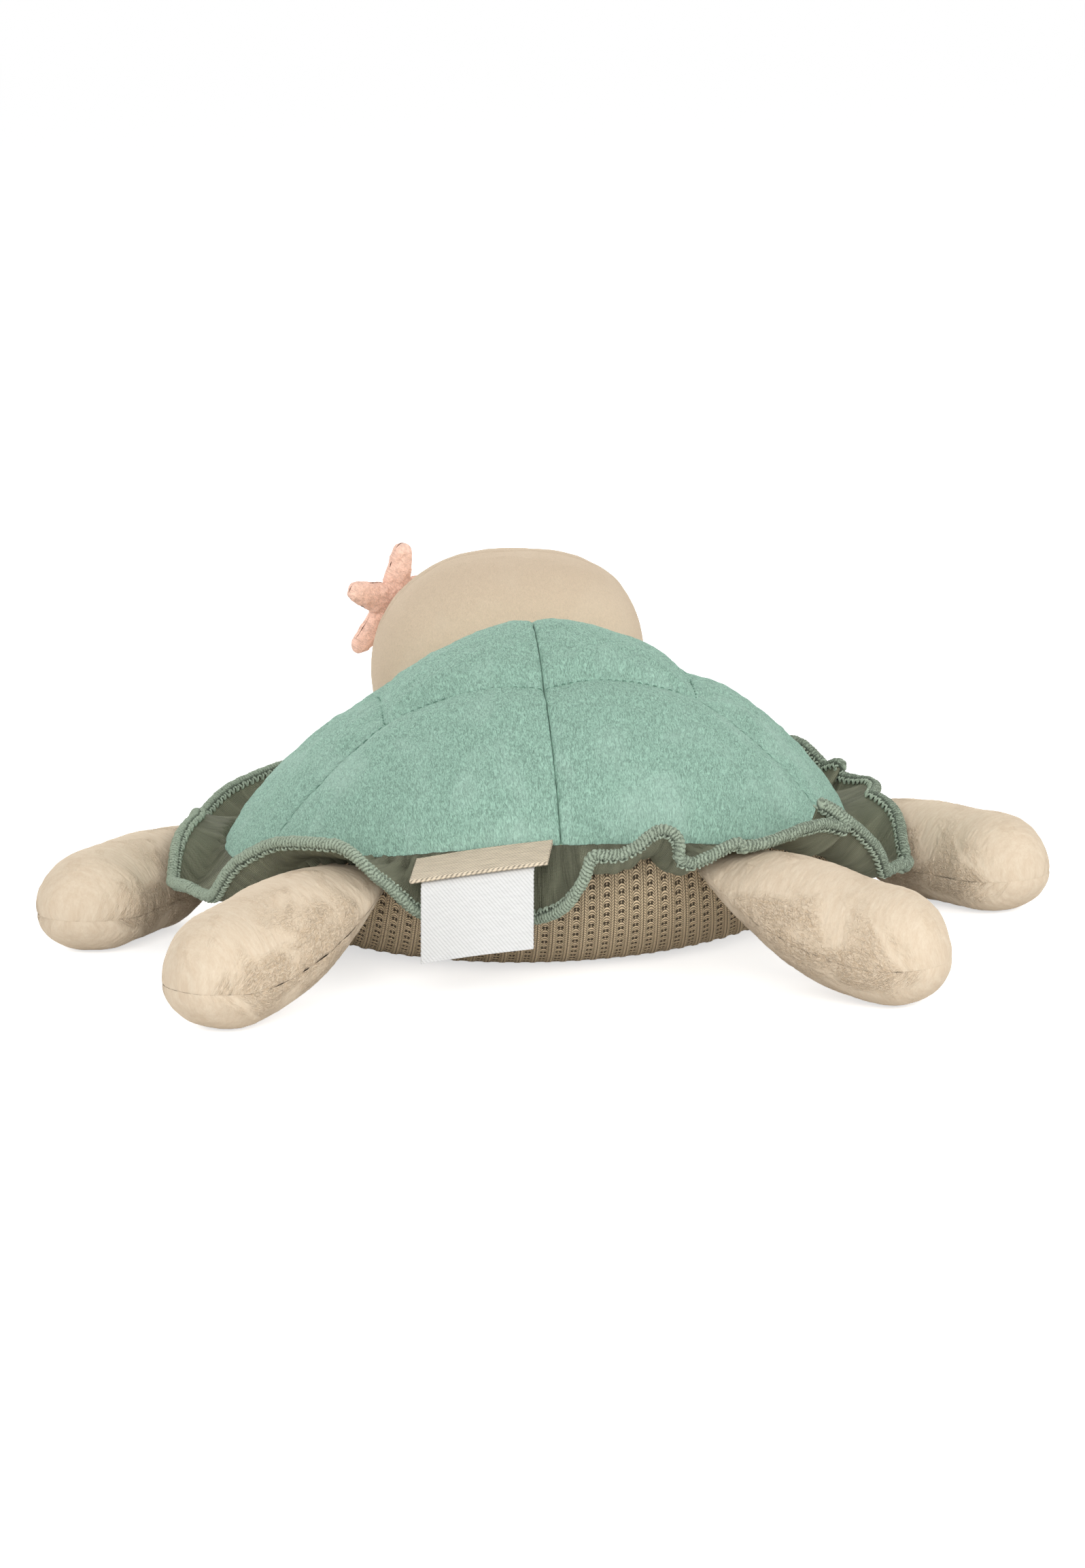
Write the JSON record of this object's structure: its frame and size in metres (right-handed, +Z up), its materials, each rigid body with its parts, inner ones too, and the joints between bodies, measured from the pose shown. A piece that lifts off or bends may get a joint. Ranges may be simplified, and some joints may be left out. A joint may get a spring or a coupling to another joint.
{
  "type": "plush turtle",
  "caption": "Soft stuffed sea turtle with a quilted domed shell, gathered cloth ruffle, padded flippers, round head with a small starfish and blank sewn-in labels.",
  "frame": {"origin": "middle of the flat underside of the belly, on the floor it rests on", "axes": "+Z up; the head points towards -Y; +X is the turtle's own left"},
  "size_m": [0.3054, 0.2997, 0.0975],
  "materials": {
    "mint_plush": "short-pile plush",
    "beige_plush": "short-pile plush",
    "tan_knit": "open rib knit",
    "sage_cotton": "plain woven cotton",
    "sage_thread": "overlocked thread",
    "beige_tape": "woven label tape",
    "white_satin": "printed-label satin, left blank",
    "coral_plush": "short-pile plush",
    "eye_thread": "satin-stitch embroidery",
    "fibre_filling": "loose polyester fibre"
  },
  "bodies": {
    "torso": {"shell_left_panel": "mint_plush", "shell_right_panel": "mint_plush", "belly_panel": "tan_knit", "body_filling": "fibre_filling", "ruffle": "sage_cotton", "ruffle_edge": "sage_thread"},
    "head": {"head_back_panel": "beige_plush", "head_face_panel": "beige_plush", "head_filling": "fibre_filling", "left_eye": "eye_thread", "right_eye": "eye_thread", "starfish_outer_panel": "coral_plush", "starfish_inner_panel": "coral_plush", "starfish_filling": "fibre_filling"},
    "front_left_flipper": {"front_left_flipper_upper_panel": "beige_plush", "front_left_flipper_lower_panel": "beige_plush", "front_left_flipper_filling": "fibre_filling"},
    "front_right_flipper": {"front_right_flipper_upper_panel": "beige_plush", "front_right_flipper_lower_panel": "beige_plush", "front_right_flipper_filling": "fibre_filling"},
    "rear_left_leg": {"rear_left_leg_upper_panel": "beige_plush", "rear_left_leg_lower_panel": "beige_plush", "rear_left_leg_filling": "fibre_filling"},
    "rear_right_leg": {"rear_right_leg_upper_panel": "beige_plush", "rear_right_leg_lower_panel": "beige_plush", "rear_right_leg_filling": "fibre_filling"},
    "labels": {"folded_label": "beige_tape", "care_label": "white_satin"}
  },
  "joints": [
    {"name": "head_nod", "type": "hinge", "parent": "torso", "child": "head", "pos_m": [0, -0.095, 0.042], "axis": [1, 0, 0], "range_deg": [-8, 18], "stiffness_Nm_per_rad": 0.5},
    {"name": "front_left_flipper_lift", "type": "hinge", "parent": "torso", "child": "front_left_flipper", "pos_m": [0.09128, -0.02472, 0.02457], "axis": [-0.2563, -0.9666, 0], "range_deg": [-15, 30], "stiffness_Nm_per_rad": 0.3, "deforming": ["ruffle", "ruffle_edge"]},
    {"name": "front_right_flipper_lift", "type": "hinge", "parent": "torso", "child": "front_right_flipper", "pos_m": [-0.09084, -0.02632, 0.02472], "axis": [-0.273, 0.962, 0], "range_deg": [-15, 30], "stiffness_Nm_per_rad": 0.3, "deforming": ["ruffle", "ruffle_edge"]},
    {"name": "rear_left_leg_lift", "type": "hinge", "parent": "torso", "child": "rear_left_leg", "pos_m": [0.05687, 0.07627, 0.0337], "axis": [0.7956, -0.6059, 0], "range_deg": [-15, 30], "stiffness_Nm_per_rad": 0.3, "deforming": ["ruffle", "ruffle_edge"]},
    {"name": "rear_right_leg_lift", "type": "hinge", "parent": "torso", "child": "rear_right_leg", "pos_m": [-0.04725, 0.0827, 0.0355], "axis": [0.8637, 0.504, 0], "range_deg": [-15, 30], "stiffness_Nm_per_rad": 0.3, "deforming": ["ruffle", "ruffle_edge"]},
    {"name": "label_flap", "type": "hinge", "parent": "torso", "child": "labels", "pos_m": [0.0213, 0.09325, 0.04239], "axis": [0.9685, -0.226, -0.1045], "range_deg": [0, 40], "stiffness_Nm_per_rad": 0.002, "deforming": ["ruffle", "ruffle_edge"]}
  ]
}
